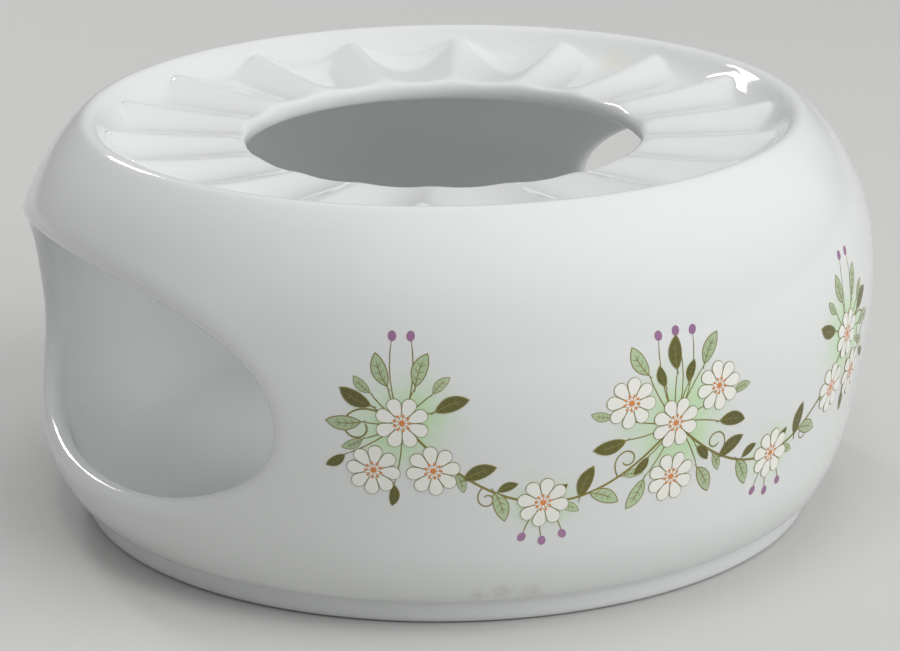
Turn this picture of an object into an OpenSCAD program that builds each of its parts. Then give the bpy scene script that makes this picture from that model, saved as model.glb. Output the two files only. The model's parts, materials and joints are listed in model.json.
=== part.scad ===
// Porcelain teapot warmer, slip-cast in one piece: a barrel-shaped wall on a
// foot ring, an opening in each end for the candle, and on top a fluted well
// with a hole, on which the pot stands. The front wears a printed festoon.
// Millimetres, +Z up. The origin is the centre of the foot, on the table.
// The openings look along X and the printed side faces -Y.

/* [Body] */
// Radius at the widest point, the belly
belly_r = 76.5; // [74:0.5:84]
// Height of the belly above the table
belly_z = 41.6; // [40:0.2:46]
// Radius of the belly's curve, seen from the side
belly_round = 49.5; // [42:0.5:58]
// Slope at which the belly runs into the shoulder, in degrees from upright
belly_turn = 18; // [14:1:22]
// Radius of the shoulder's curve
shoulder_round = 27.5; // [24:0.5:31]
// Slope at which the shoulder runs into the rim
shoulder_turn = 53; // [48:1:58]
// Radius of the rim's crest
rim_round = 4; // [3:0.5:6]
// Lean of the straight skirt below the belly, in degrees from upright
skirt_lean = 9; // [5:0.5:12]
// Height at which the skirt starts to curve in to the foot
heel_z = 15.5; // [13:0.5:20]
// Radius of the curve from the skirt to the foot
heel_round = 22.5; // [20:0.5:30]
// Thickness of the wall
wall = 4.5; // [3.5:0.1:5.5]

/* [Foot] */
// Outer radius of the foot ring, where it stands on the table
foot_r = 65; // [62:0.5:66]
// Height of the foot ring, up to the crease under the body
foot_h = 4.9; // [4:0.1:6]
// How much the foot ring widens from the table up to the crease
foot_flare = 1.2; // [0.5:0.1:1.6]
// Width of the ring that touches the table
foot_w = 3.5; // [2.5:0.1:5]
// Depth of the hollow under the base
base_recess = 2.5; // [1.5:0.1:3]
// Thickness of the base
base_t = 4; // [3:0.1:5]
// Radius between the floor and the wall inside
floor_round = 8; // [5:0.5:10]

/* [Well] */
// Number of flutes
flute_count = 18; // [14:1:20]
// Depth of the flutes' bottoms below the rim
well_depth = 5.1; // [4:0.1:6]
// Slope of the roll from the rim down into the flutes, in degrees
roll_slope = 35; // [30:1:45]
// Radius of a flute's hollow beside the hole
flute_r_in = 24; // [20:0.5:30]
// Radius of a flute's hollow beside the rim
flute_r_out = 15.5; // [13.5:0.5:19]
// Width of the blunt crest between two flutes
crest_w = 1; // [0.6:0.1:1.6]
// Thickness of the deck under the flutes
deck_t = 3.3; // [2.6:0.1:4]
// Radius of the round that leads a flute's bottom up into the roll
scallop_round = 8; // [5:0.5:10]
// Turn of the flutes against the openings, in degrees
flute_turn = -2; // [-10:0.5:10]
// Radius of the hole
hole_r = 35; // [30:0.5:42]
// Radius of the softened edges of the hole
hole_round = 1.3; // [0.8:0.1:1.5]

/* [Openings] */
// Width of the opening in each end
opening_w = 92; // [80:1:104]
// Height of the opening's widest level above the table
opening_z = 37.8; // [36:0.2:40]
// Height of the opening above its widest level
opening_up = 17.6; // [14:0.2:20]
// Depth of the opening below its widest level
opening_down = 22; // [18:0.2:24]
// Fullness of the opening's oval, from 2 for an ellipse up to a squarer one
opening_full = 2.3; // [2:0.05:2.6]

/* [Print] */
// Thickness of the fired print
print_t = 0.12; // [0.08:0.01:0.3]
// Diameter of a large daisy
daisy_d = 9; // [7:0.5:10]
// Number of petals of a daisy
petal_count = 8; // [6:1:10]
// Width of the drawn lines
line_w = 0.45; // [0.35:0.05:0.6]
// Length of a leaf
leaf_l = 6; // [5:0.5:7]
// Width of a leaf
leaf_w = 2.6; // [2:0.1:3]
// Diameter of a berry
berry_d = 1.7; // [1.2:0.1:2]
// Distance between two posies along the wall
posy_gap = 46; // [42:1:48]
// Height of the middle posy
posy_z = 35; // [32:1:38]
// How much higher the outer posies sit
posy_rise = 4; // [0:0.5:6]
// How far the garland hangs between two posies
swag_drop = 13; // [8:1:15]

/* [Hidden] */
$fn = 96;
arc_step = 3.5;     // degrees between two points of a profile's arc
sky = 20;           // how far a cutter reaches past what it cuts
oval_steps = 72;    // points of an opening's outline

// Points on an arc, from one angle to another
function on_arc(centre, radius, angle) = centre + radius * [cos(angle), sin(angle)];
function arc(centre, radius, from, to, step = arc_step) =
    let (steps = max(2, ceil(abs(to - from) / step)))
    [for (i = [0:steps]) on_arc(centre, radius, from + (to - from) * i / steps)];

// The wall's profile, as [radius, height], is a chain of arcs that run smoothly
// into each other: heel, straight skirt, belly, shoulder and rim.
belly_c = [belly_r - belly_round, belly_z];
shoulder_c = on_arc(belly_c, belly_round - shoulder_round, belly_turn);
rim_c = on_arc(shoulder_c, shoulder_round - rim_round, shoulder_turn);
rim_z = rim_c[1] + rim_round;
skirt_top = on_arc(belly_c, belly_round, -skirt_lean);
skirt_low = skirt_top - (skirt_top[1] - heel_z) * [tan(skirt_lean), 1];
heel_c = on_arc(skirt_low, -heel_round, -skirt_lean);
heel_turn = asin((heel_c[1] - foot_h) / heel_round);

// The roll is the straight slope from the rim's crest down into the flutes.
roll_turn = 90 + roll_slope;
roll_top = on_arc(rim_c, rim_round, roll_turn);
flute_z = rim_z - well_depth;
deck_z = flute_z - deck_t;
floor_z = base_recess + base_t;
function roll_at(z) = roll_top - (roll_top[1] - z) * [1 / tan(roll_slope), 1];

// Inside, the wall keeps its thickness under the rim, where a groove turns it
// into the deck, and a round leads it into the floor.
groove_round = 2;
groove_reach = shoulder_round - wall - groove_round;
groove_side = (shoulder_c - roll_top) * [cos(roll_turn), sin(roll_turn)];
groove_turn = roll_turn - acos(-(wall + groove_round + groove_side) / groove_reach);
groove_c = on_arc(shoulder_c, groove_reach, groove_turn);
groove_end = on_arc(groove_c, groove_round, roll_turn);
groove_low = groove_end - (groove_end[1] - deck_z) * [1 / tan(roll_slope), 1];
inner_heel = heel_round - wall;
floor_turn = asin((heel_c[1] - floor_z - floor_round) / (inner_heel - floor_round));
floor_c = on_arc(heel_c, inner_heel - floor_round, -floor_turn);

// From the skirt up to the shoulder, moved in by inset
function side_line(inset, low_angle, high_angle) = concat(
    arc(heel_c, heel_round - inset, -low_angle, -skirt_lean),
    arc(belly_c, belly_round - inset, -skirt_lean, belly_turn),
    arc(shoulder_c, shoulder_round - inset, belly_turn + arc_step, high_angle));

// A flute is a cone whose bottom lies level; crest_rise is how high its side
// stands above that bottom where the blunt crest begins, at a given radius.
pitch = 360 / flute_count;
flute_in = hole_r - 2;
flute_out = roll_top[0];
flute_len = flute_out - flute_in;
flute_fall = atan((flute_r_in - flute_r_out) / flute_len);
function flute_r(r) = flute_r_in + (flute_r_out - flute_r_in) * (r - flute_in) / flute_len;
function crest_half(r) = r * sin(pitch / 2) - crest_w / 2;
function crest_rise(r) = flute_r(r) - sqrt(pow(flute_r(r), 2) - pow(crest_half(r), 2));

module revolve(points) {
    rotate_extrude() polygon(points);
}

// The solid form: the wall's outline, filled up to the roll's top, with the foot
// ring under it
module blank() {
    foot_edge = 0.6;
    crease_z = foot_h - foot_edge;
    crease_c = on_arc(heel_c, heel_round - foot_edge, -heel_turn);
    revolve(concat(
        [[0, base_recess], [foot_r - foot_w - base_recess, base_recess]],
        [[foot_r - foot_w, 0], [foot_r - foot_edge, 0], [foot_r, foot_edge]],
        [[foot_r + foot_flare, crease_z]],
        arc(crease_c, foot_edge, -90, -heel_turn - arc_step),
        side_line(0, heel_turn, shoulder_turn),
        arc(rim_c, rim_round, shoulder_turn + arc_step, roll_turn),
        [[0, roll_top[1]]]));
}

// The hollow inside, from the floor up to the deck, and the hole through it.
// The hole's edges are softened by the same outline.
module hollow() {
    lip_slope = 25;
    low_c = [hole_r + hole_round, deck_z + hole_round];
    high_c = [hole_r + hole_round, flute_z + crest_rise(hole_r) / 2 - hole_round];
    lip_end = on_arc(high_c, hole_round, 90 + lip_slope);
    revolve(concat(
        [[0, floor_z]],
        arc(floor_c, floor_round, -90, -floor_turn - arc_step),
        side_line(wall, floor_turn, groove_turn),
        arc(groove_c, groove_round, groove_turn + arc_step, roll_turn),
        [groove_low],
        arc(low_c, hole_round, 270, 180),
        arc(high_c, hole_round, 180, 90 + lip_slope),
        [lip_end + sky * [1, tan(lip_slope)], [0, lip_end[1] + sky * tan(lip_slope)]]));
}

// One flute: a level cone, kept just inside its own share of the ring
module flute() {
    share = crest_w / 4;
    reach = flute_out + sky;
    intersection() {
        translate([flute_in, 0, flute_z])
            rotate([0, flute_fall, 0])
                translate([0, 0, flute_r_in])
                    rotate([0, 90, 0])
                        cylinder(h = flute_len + sky / 4, r1 = flute_r_in,
                            r2 = flute_r_in - (flute_len + sky / 4) * tan(flute_fall));
        translate([share / sin(pitch / 2), 0, flute_z - 1])
            linear_extrude(sky)
                polygon([[0, 0], reach * [cos(pitch / 2), -sin(pitch / 2)],
                    reach * [cos(pitch / 2), sin(pitch / 2)]]);
    }
}

// The empty space over the blunt crests, which rise from the hole to the roll
module over_crests() {
    low = [flute_in, flute_z + crest_rise(flute_in)];
    rise = (crest_rise(flute_out) - crest_rise(flute_in)) / flute_len;
    end = low + (flute_len + crest_w) * [1, rise];
    revolve([[0, low[1]], low, end, [end[0], flute_z + sky], [0, flute_z + sky]]);
}

// The well: what is empty over the crests and in the flutes, ended by the roll
// below the rim, which has a round at its foot
module well() {
    round_start = 0.15;
    low = flute_z - round_start;
    round_c = [roll_at(low)[0] - scallop_round * tan(roll_slope / 2), low + scallop_round];
    intersection() {
        revolve(concat(
            [[0, low]],
            arc(round_c, scallop_round, 270, 270 + roll_slope),
            [roll_top, [roll_top[0], flute_z + sky], [0, flute_z + sky]]));
        union() {
            over_crests();
            for (i = [0:flute_count - 1])
                rotate([0, 0, (i + 0.5) * pitch]) flute();
        }
    }
}

// Outline of an opening as [across, up], larger by grow all round: an oval that
// is fuller than an ellipse, with less height above its widest level than below
function oval_point(turn, grow) =
    let (half_w = opening_w / 2,
        half_h = sin(turn) < 0 ? opening_down : opening_up,
        across = pow(abs(cos(turn)), 2 / opening_full),
        up = pow(abs(sin(turn)), 2 / opening_full),
        slope = [pow(across, opening_full - 1) / half_w, pow(up, opening_full - 1) / half_h],
        spot = [half_w * across, half_h * up] + grow * slope / norm(slope))
    [sign(cos(turn)) * spot[0], sign(sin(turn)) * spot[1]];
function opening_line(grow) = [for (i = [0:oval_steps - 1]) oval_point((i + 0.5) * 360 / oval_steps, grow)];

// The clear way through both openings: one straight cut along X, which leaves
// the edge all round to the lip
module openings() {
    translate([0, 0, opening_z])
        rotate([90, 0, 90])
            linear_extrude(2 * (belly_r + sky), center = true)
                polygon(opening_line(-wall / 3));
}

// The lip: round each opening the wall ends in a full round, as a sponge leaves
// it. The cutter is a ring that follows the opening on the middle of the wall;
// its section, as [out of the wall, into the opening], is hollowed by the round.
lip_r = wall / 2;
lip_steps = 8;
lip_line = opening_line(lip_r);
lip_back = wall * 0.45;
lip_reach = wall * 1.8;
lip_sky = wall * 1.4;
lip_section = let (over = lip_r + lip_back * tan(90 / lip_steps))
    concat(
        [[lip_sky, -lip_back], [over, -lip_back]],
        [for (k = [1:lip_steps - 1]) on_arc([0, 0], lip_r, 180 * k / lip_steps)],
        [[-over, -lip_back], [-lip_sky, -lip_back], [-lip_sky, lip_reach], [lip_sky, lip_reach]]);

// Middle of the wall at a height, as [radius, lean]
function mid_wall(z) =
    let (heel_mid = heel_round - lip_r,
        belly_mid = belly_round - lip_r,
        shoulder_mid = shoulder_round - lip_r,
        skirt_top_mid = on_arc(belly_c, belly_mid, -skirt_lean),
        skirt_fall = skirt_top_mid[1] - z)
    z < heel_c[1] - heel_mid * sin(skirt_lean) ? mid_arc(heel_c, heel_mid, z)
        : skirt_fall > 0 ? [skirt_top_mid[0] - skirt_fall * tan(skirt_lean), -skirt_lean]
        : z < belly_c[1] + belly_mid * sin(belly_turn) ? mid_arc(belly_c, belly_mid, z)
        : mid_arc(shoulder_c, shoulder_mid, z);
function mid_arc(centre, radius, z) =
    let (lean = asin((z - centre[1]) / radius)) [centre[0] + radius * cos(lean), lean];

// A point of the lip's middle, and the way straight out of the wall there
function lip_point(p) = let (r = mid_wall(opening_z + p[1])[0])
    [sqrt(pow(r, 2) - pow(p[0], 2)), p[0], opening_z + p[1]];
function lip_out(p) = let (m = mid_wall(opening_z + p[1]), side = asin(p[0] / m[0]))
    [cos(m[1]) * cos(side), cos(m[1]) * sin(side), sin(m[1])];

module lip_cutter() {
    n = len(lip_line);
    m = len(lip_section);
    spots = [for (p = lip_line) lip_point(p)];
    points = [for (i = [0:n - 1])
        let (ahead = spots[(i + 1) % n] - spots[(i + n - 1) % n],
            out = lip_out(lip_line[i]),
            into = cross(out, ahead / norm(ahead)))
        for (q = lip_section) spots[i] + q[0] * out + q[1] * into];
    faces = [for (i = [0:n - 1]) for (j = [0:m - 1])
        let (a = i * m + j, b = i * m + (j + 1) % m, c = (a + m) % (n * m), d = (b + m) % (n * m))
        for (f = [[a, c, b], [b, c, d]]) f];
    polyhedron(points, faces);
}

module lips() {
    for (turn = [0, 180])
        rotate([0, 0, turn]) lip_cutter();
}

module porcelain_body() {
    color("whitesmoke")
        difference() {
            rotate([0, 0, flute_turn])
                difference() {
                    blank();
                    well();
                    hollow();
                }
            openings();
            lips();
        }
}

// The print lies on the wall in places given as [along, height], where along
// is the distance from the middle of the front, and up is up.
posies = [[-posy_gap, posy_z + posy_rise], [0, posy_z], [posy_gap, posy_z + posy_rise]];
petal_r = daisy_d * 0.17;
petal_off = daisy_d * 0.3;
heart_r = daisy_d * 0.16;
swag_steps = 12;

// A point of the garland between posy i and the next, with t from 0 to 1
function swag(i, t) = posies[i] + t * (posies[i + 1] - posies[i]) - [0, swag_drop * 4 * t * (1 - t)];
function heading(a, b) = atan2(b[1] - a[1], b[0] - a[0]);

// Places around a posy, as [along, height, heading]
function around(p, radius, angles) = [for (a = angles) concat(p + radius * [cos(a), sin(a)], [a])];

// Places beside both garlands, off above or below them, turned by lean
leaf_off = 2.2;
leaf_lean = 50;
function beside(off, shares, lean) = [for (i = [0, 1]) for (t = shares)
    concat(swag(i, t) + [0, off], [heading(swag(i, t), swag(i, t + 0.05)) + lean])];

daisies = concat(
    [for (p = posies) p],
    [for (a = [30, 150, 270]) posies[1] + daisy_d * 1.08 * [cos(a), sin(a)]],
    [for (p = [posies[0], posies[2]]) for (a = [60, 120]) p - daisy_d * 1.08 * [cos(a), sin(a)]],
    [for (i = [0, 1]) swag(i, 0.5)]);
dark_leaves = concat(
    around(posies[1], daisy_d * 1.35, [90, 205, 335]),
    around(posies[0], daisy_d * 0.95, [20, 150]),
    around(posies[2], daisy_d * 0.95, [30, 160]),
    beside(leaf_off, [0.27, 0.66], leaf_lean));
pale_leaves = concat(
    around(posies[1], daisy_d * 1.5, [60, 120, 240, 300]),
    around(posies[0], daisy_d * 1.05, [70, 110, 180]),
    around(posies[2], daisy_d * 1.05, [0, 70, 110]),
    beside(-leaf_off, [0.34, 0.73], -leaf_lean));
berries = concat(
    around(posies[1], daisy_d * 1.75, [78, 90, 102]),
    around(posies[0], daisy_d * 1.6, [84, 96]),
    around(posies[2], daisy_d * 1.6, [84, 96]),
    around(swag(0, 0.5), daisy_d * 0.78, [240, 270, 300]),
    around(swag(1, 0.5), daisy_d * 0.78, [240, 270, 300]));

// Stands a flat shape on the wall at p, pushed through it from inside
module on_wall(p, turn = 0) {
    rotate([0, 0, p[0] / belly_r * 180 / PI - 90])
        translate([belly_r - sky, 0, p[1]])
            rotate([90, 0, 90])
                linear_extrude(sky * 1.5)
                    rotate(turn)
                        children();
}

// The thin layer on the wall that the print fills
module print_layer() {
    outside = side_line(-print_t, heel_turn, shoulder_turn);
    inside = side_line(0, heel_turn, shoulder_turn);
    last = len(inside) - 1;
    revolve(concat(outside, [for (i = [last:-1:0]) inside[i]]));
}

module daisy_outline(grow) {
    circle(r = heart_r + grow);
    for (i = [0:petal_count - 1])
        rotate(i * 360 / petal_count)
            translate([petal_off, 0])
                circle(r = petal_r + grow);
}

// A leaf is what two equal discs share, with its tips along x
module leaf_outline(length, width) {
    bow = (pow(length, 2) + pow(width, 2)) / (4 * width);
    intersection() {
        translate([0, bow - width / 2]) circle(r = bow);
        translate([0, width / 2 - bow]) circle(r = bow);
    }
}

module daisy_areas() {
    for (p = daisies)
        on_wall(p) daisy_outline(line_w);
}

module leaves(places) {
    for (p = places)
        on_wall(p, p[2]) leaf_outline(leaf_l, leaf_w);
}

module print_lines() {
    color("olivedrab")
        intersection() {
            print_layer();
            union() {
                for (p = daisies)
                    on_wall(p)
                        difference() {
                            daisy_outline(line_w);
                            daisy_outline(0);
                        }
                difference() {
                    for (i = [0, 1])
                        for (k = [0:swag_steps - 1])
                            garland_stroke(swag(i, k / swag_steps), swag(i, (k + 1) / swag_steps));
                    daisy_areas();
                    leaves(dark_leaves);
                    leaves(pale_leaves);
                }
            }
        }
}

module garland_stroke(a, b) {
    on_wall((a + b) / 2, heading(a, b))
        square([norm(b - a) + line_w, line_w], center = true);
}

module print_petals() {
    color("ivory")
        intersection() {
            print_layer();
            for (p = daisies)
                on_wall(p)
                    difference() {
                        daisy_outline(0);
                        circle(r = heart_r);
                    }
        }
}

module print_hearts() {
    color("orange")
        intersection() {
            print_layer();
            for (p = daisies)
                on_wall(p) circle(r = heart_r);
        }
}

module print_dark_leaves() {
    color("darkolivegreen")
        intersection() {
            print_layer();
            difference() {
                leaves(dark_leaves);
                daisy_areas();
            }
        }
}

module print_pale_leaves() {
    color("palegreen")
        intersection() {
            print_layer();
            difference() {
                leaves(pale_leaves);
                daisy_areas();
                leaves(dark_leaves);
            }
        }
}

module print_berries() {
    color("orchid")
        intersection() {
            print_layer();
            difference() {
                for (p = berries)
                    on_wall(p) circle(d = berry_d);
                daisy_areas();
                leaves(dark_leaves);
                leaves(pale_leaves);
            }
        }
}

porcelain_body();
print_lines();
print_petals();
print_hearts();
print_dark_leaves();
print_pale_leaves();
print_berries();
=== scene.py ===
# %% [markdown]
# # A porcelain teapot warmer
# The real warmer is one slip-cast piece of porcelain: a barrel-shaped wall on a foot ring, a wide
# oval opening in each end for the candle, and on top a fluted well with a hole, on which the
# teapot stands. The front wears a fired print of flowers under a clear, glossy glaze. This script
# loads the solid model as a fixed frame and makes the piece again in the same place and size, with
# soft edges, its glaze and its print.

# %% Load the frame
import bisect
import json
import math

import bmesh
import bpy
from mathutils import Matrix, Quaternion, Vector

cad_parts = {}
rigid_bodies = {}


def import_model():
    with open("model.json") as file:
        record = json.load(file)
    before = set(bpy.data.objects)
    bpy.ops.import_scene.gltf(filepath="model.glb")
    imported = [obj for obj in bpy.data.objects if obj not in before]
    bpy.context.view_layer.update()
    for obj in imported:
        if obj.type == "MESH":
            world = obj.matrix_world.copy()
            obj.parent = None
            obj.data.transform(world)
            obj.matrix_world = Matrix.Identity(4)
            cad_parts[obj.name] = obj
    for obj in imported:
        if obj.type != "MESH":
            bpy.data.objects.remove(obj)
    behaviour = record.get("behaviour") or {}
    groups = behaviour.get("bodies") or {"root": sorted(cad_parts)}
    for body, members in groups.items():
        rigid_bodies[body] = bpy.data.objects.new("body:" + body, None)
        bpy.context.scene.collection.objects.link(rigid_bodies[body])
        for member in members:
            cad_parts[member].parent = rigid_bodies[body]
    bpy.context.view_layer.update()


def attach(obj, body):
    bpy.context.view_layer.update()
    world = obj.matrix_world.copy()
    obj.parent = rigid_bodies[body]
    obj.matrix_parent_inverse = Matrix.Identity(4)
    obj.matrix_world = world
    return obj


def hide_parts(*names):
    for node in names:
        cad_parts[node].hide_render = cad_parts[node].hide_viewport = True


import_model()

# %% [markdown]
# ## Small tools
# An operator works on everything that is selected, so each step starts with nothing selected. All
# sizes are in millimetres and degrees, as in a potter's drawing, and turned into Blender's metres
# where a mesh is made.

# %% Selection, units and angles
MM = 0.001
NO_GAP = 1e-6


def clear_selection():
    if bpy.context.object and bpy.context.object.mode != "OBJECT":
        bpy.ops.object.mode_set(mode="OBJECT")
    bpy.ops.object.select_all(action="DESELECT")


def work_on(*pieces):
    clear_selection()
    for piece in pieces:
        piece.select_set(True)
    bpy.context.view_layer.objects.active = pieces[0]


def edit(piece):
    """Opens a piece in edit mode, with all of it selected."""
    work_on(piece)
    bpy.ops.object.mode_set(mode="EDIT")
    bpy.ops.mesh.select_all(action="SELECT")


def leave_edit():
    bpy.ops.object.mode_set(mode="OBJECT")


def triangles(piece):
    return sum(len(face.vertices) - 2 for face in piece.data.polygons)


def cosine(degrees):
    return math.cos(math.radians(degrees))


def sine(degrees):
    return math.sin(math.radians(degrees))


def tangent(degrees):
    return math.tan(math.radians(degrees))


def polar(place):
    """Radius, azimuth and height of a place in Blender's metres."""
    x, y, z = (c / MM for c in place)
    return math.hypot(x, y), math.degrees(math.atan2(y, x)), z


def placed(r, azimuth, z):
    return (r * MM * cosine(azimuth), r * MM * sine(azimuth), z * MM)


# %% [markdown]
# ## The wall's section
# The wall is a body of revolution. Its outline is a chain of arcs that run smoothly into each
# other: the heel over the foot, a straight skirt, the belly, the shoulder and the rim. Inside, the
# wall keeps its thickness, so the same centres serve again with smaller radii. One could trace the
# outline point by point, but arcs keep the surface free of dents, and the glaze would show each
# one. The rim is rolled a little tighter than on the solid model, as the real one is.

# %% Sizes of the wall
BELLY_R, BELLY_Z, BELLY_ROUND, BELLY_TURN = 76.5, 41.6, 49.5, 18.0
SHOULDER_ROUND, SHOULDER_TURN, RIM_ROUND = 27.5, 53.0, 2.6
SKIRT_LEAN, HEEL_Z, HEEL_ROUND = 9.0, 15.5, 22.5
WALL, FLOOR_Z, FLOOR_ROUND, RECESS = 4.5, 6.5, 8.0, 2.5


def on_arc(centre, radius, degrees):
    return (centre[0] + radius * cosine(degrees), centre[1] + radius * sine(degrees))


belly_c = (BELLY_R - BELLY_ROUND, BELLY_Z)
shoulder_c = on_arc(belly_c, BELLY_ROUND - SHOULDER_ROUND, BELLY_TURN)
rim_c = on_arc(shoulder_c, SHOULDER_ROUND - RIM_ROUND, SHOULDER_TURN)
skirt_top = on_arc(belly_c, BELLY_ROUND, -SKIRT_LEAN)
skirt_low = (skirt_top[0] - (skirt_top[1] - HEEL_Z) * tangent(SKIRT_LEAN), HEEL_Z)
heel_c = on_arc(skirt_low, -HEEL_ROUND, -SKIRT_LEAN)
floor_reach = HEEL_ROUND - WALL - FLOOR_ROUND
floor_turn = math.degrees(math.asin((heel_c[1] - FLOOR_Z - FLOOR_ROUND) / floor_reach))
floor_c = on_arc(heel_c, floor_reach, -floor_turn)
print("rim at", round(rim_c[1] + RIM_ROUND, 2), "mm; heel centre", [round(c, 2) for c in heel_c])

# %% [markdown]
# ## The fluted well
# On the real warmer the well carries the pot, and its eighteen hollow flutes let the heat out
# under the pot's foot. Each flute is part of a cone whose bottom lies level, and the slope under
# the rim cuts it off in a scallop. So two formulas give the whole well: a flute's height, and
# where it meets that slope. The flutes stand a little turned against the openings.

# %% Sizes of the well
FLUTES, CREST_W, WELL_DEPTH, ROLL_SLOPE = 18, 1.0, 4.82, 45.0
FLUTE_R_IN, FLUTE_R_OUT, DECK_T, HOLE_R = 24.0, 15.5, 3.3, 35.0
SCALLOP_ROUND, ROUND_START, FLUTE_TURN = 8.0, 0.15, -2.0
PITCH = 360 / FLUTES

roll_top = on_arc(rim_c, RIM_ROUND, 90 + ROLL_SLOPE)
flute_z = rim_c[1] + RIM_ROUND - WELL_DEPTH
deck_z = flute_z - DECK_T
flute_in, flute_out = HOLE_R - 2, roll_top[0]


def off_flute(azimuth):
    """Degrees from the middle of the nearest flute."""
    return (azimuth - FLUTE_TURN) % PITCH - PITCH / 2


def flute_height(r, azimuth):
    hollow = FLUTE_R_IN + (FLUTE_R_OUT - FLUTE_R_IN) * (r - flute_in) / (flute_out - flute_in)
    aside = min(r * sine(abs(off_flute(azimuth))), r * sine(PITCH / 2) - CREST_W / 2)
    return flute_z + hollow - math.sqrt(hollow ** 2 - aside ** 2)


print("flutes", round(flute_height(HOLE_R, FLUTE_TURN) - flute_z, 2), "mm deep at the hole")

# %% [markdown]
# The slope ends in a round that leads into a flute's bottom. A search by halves finds the radius
# at which slope and flute are equally high, which is the line of the scallops.

# %% The slope and the scallops
SEARCH_FROM, HALVINGS = 45.0, 40

roll_tan = tangent(ROLL_SLOPE)
round_low = flute_z - ROUND_START
round_c = (roll_top[0] - (roll_top[1] - round_low) / roll_tan
           - SCALLOP_ROUND * tangent(ROLL_SLOPE / 2), round_low + SCALLOP_ROUND)


def roll_height(r):
    if r > round_c[0] + SCALLOP_ROUND * sine(ROLL_SLOPE):
        return roll_top[1] - (roll_top[0] - r) * roll_tan
    return round_c[1] - math.sqrt(SCALLOP_ROUND ** 2 - max(0.0, r - round_c[0]) ** 2)


def scallop_r(azimuth):
    low, high = SEARCH_FROM, roll_top[0]
    for _ in range(HALVINGS):
        middle = (low + high) / 2
        if roll_height(middle) > flute_height(middle, azimuth):
            high = middle
        else:
            low = middle
    return low


print("scallop from", round(scallop_r(FLUTE_TURN + PITCH / 2), 2), "mm at a flute to",
      round(scallop_r(FLUTE_TURN), 2), "mm at a crest")

# %% [markdown]
# ## The section as a chain of points
# The chain runs from the middle of the underside out over the foot, up the wall, over the rim,
# across the well and through the hole, and back inside down to the middle of the floor. It is the
# cage of a subdivision surface, so there are few points on a long arc and close pairs of points
# where an edge has to stay firm. The band of the foot stands nearly upright, as the real one does.

# %% The chain up to the rim
FOOT_LINE = [(0, RECESS), (30, RECESS), (56, RECESS), (59, RECESS), (60.2, 1.35), (61.3, 0.2),
             (62.2, 0), (63.9, 0), (65.35, 0.15), (65.95, 0.75), (66.15, 2.4), (66.25, 3.8),
             (66.4, 4.4), (67.2, 4.5), (68.1, 4.85)]
FOOT_EDGE = (66.4, 4.4)


def along(centre, radius, turns, kind):
    return [(*on_arc(centre, radius, turn), kind) for turn in turns]


def between(start, end, shares, kind):
    return [(start[0] + share * (end[0] - start[0]), start[1] + share * (end[1] - start[1]), kind)
            for share in shares]


rows = [(r, z, "foot") for r, z in FOOT_LINE]
rows += along(heel_c, HEEL_ROUND, (-35, -27, -17, -9), "outside")
rows += between(skirt_low, skirt_top, (0.36, 0.7), "outside")
rows += along(belly_c, BELLY_ROUND, (-8, 1, 9.5), "outside")
rows += along(shoulder_c, SHOULDER_ROUND, (17, 26, 35, 44), "outside")
rows += along(rim_c, RIM_ROUND, (53, 78, 104, 131), "rim")
print(len(rows), "points up to the rim")

# %% [markdown]
# The well's rows carry a share instead of a place: 0 is the scallop under the roll and 1 is the
# lip of the hole. Their real radius and height differ round the warmer, so they are spun at a
# rough place and set after the spin. Under the rim, a groove keeps the wall's thickness.

# %% The well, the hole and the inside
WELL_ROWS = (-0.72, -0.44, -0.2, 0.0, 0.12, 0.36, 0.66, 0.9, 1.0)
ROUGH_R, ROUGH_REACH, ROUGH_Z = 58, 19, 67
LIP_LINE = [(0.85, 66.1), (0.22, 65.75), (-0.05, 64.95), (-0.05, 64.1), (0.25, 63.1),
            (1.2, deck_z)]
GROOVE_ROUND = 2.0

slope_turn = 90 + ROLL_SLOPE
groove_reach = SHOULDER_ROUND - WALL - GROOVE_ROUND
slope_way = (cosine(slope_turn), sine(slope_turn))
groove_side = sum((s - t) * w for s, t, w in zip(shoulder_c, roll_top, slope_way))
groove_share = -(WALL + GROOVE_ROUND + groove_side) / groove_reach
groove_c = on_arc(shoulder_c, groove_reach, slope_turn - math.degrees(math.acos(groove_share)))
groove_end = on_arc(groove_c, GROOVE_ROUND, slope_turn)
groove_low = (groove_end[0] - (groove_end[1] - deck_z) / roll_tan, deck_z)

rows += [(ROUGH_R - ROUGH_REACH * max(share, 0) - share, ROUGH_Z - share, share)
         for share in WELL_ROWS]
rows += [(HOLE_R + off, z, "lip") for off, z in LIP_LINE]
rows += [(41, deck_z, "lip"), (50, deck_z, "lip")]
rows += [(groove_low[0] - 0.7, deck_z, "lip"), (groove_low[0] + 0.6, deck_z + 0.4, "lip")]
rows += between(groove_low, groove_end, (0.5,), "lip")
rows += along(groove_c, GROOVE_ROUND, (135, 92, 56), "lip")
rows += along(shoulder_c, SHOULDER_ROUND - WALL, (42, 34, 26, 17), "inside")
rows += along(belly_c, BELLY_ROUND - WALL, (9.5, 1, -8), "inside")
skirt_in = [(r - WALL * cosine(SKIRT_LEAN), z + WALL * sine(SKIRT_LEAN))
            for r, z in (skirt_low, skirt_top)]
rows += between(*skirt_in, (0.7, 0.36), "inside")
rows += along(heel_c, HEEL_ROUND - WALL, (-9, -17, -25), "inside")
rows += along(floor_c, FLOOR_ROUND, (-48, -70, -90), "inside")
rows += [(52, FLOOR_Z, "floor"), (26, FLOOR_Z, "floor"), (0, FLOOR_Z, "floor")]
print(len(rows), "points in the whole section")

# %% [markdown]
# ## Spinning the body
# The potter's model for the mould was turned on a wheel, so spinning the section is the true way
# to make it: a point is extruded from place to place into the chain, and the chain is spun into 72
# columns, four for each flute. A lathe modifier would do as well, but the columns have to fall on
# the crests, so the chain is drawn in the plane of a crest.

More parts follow.
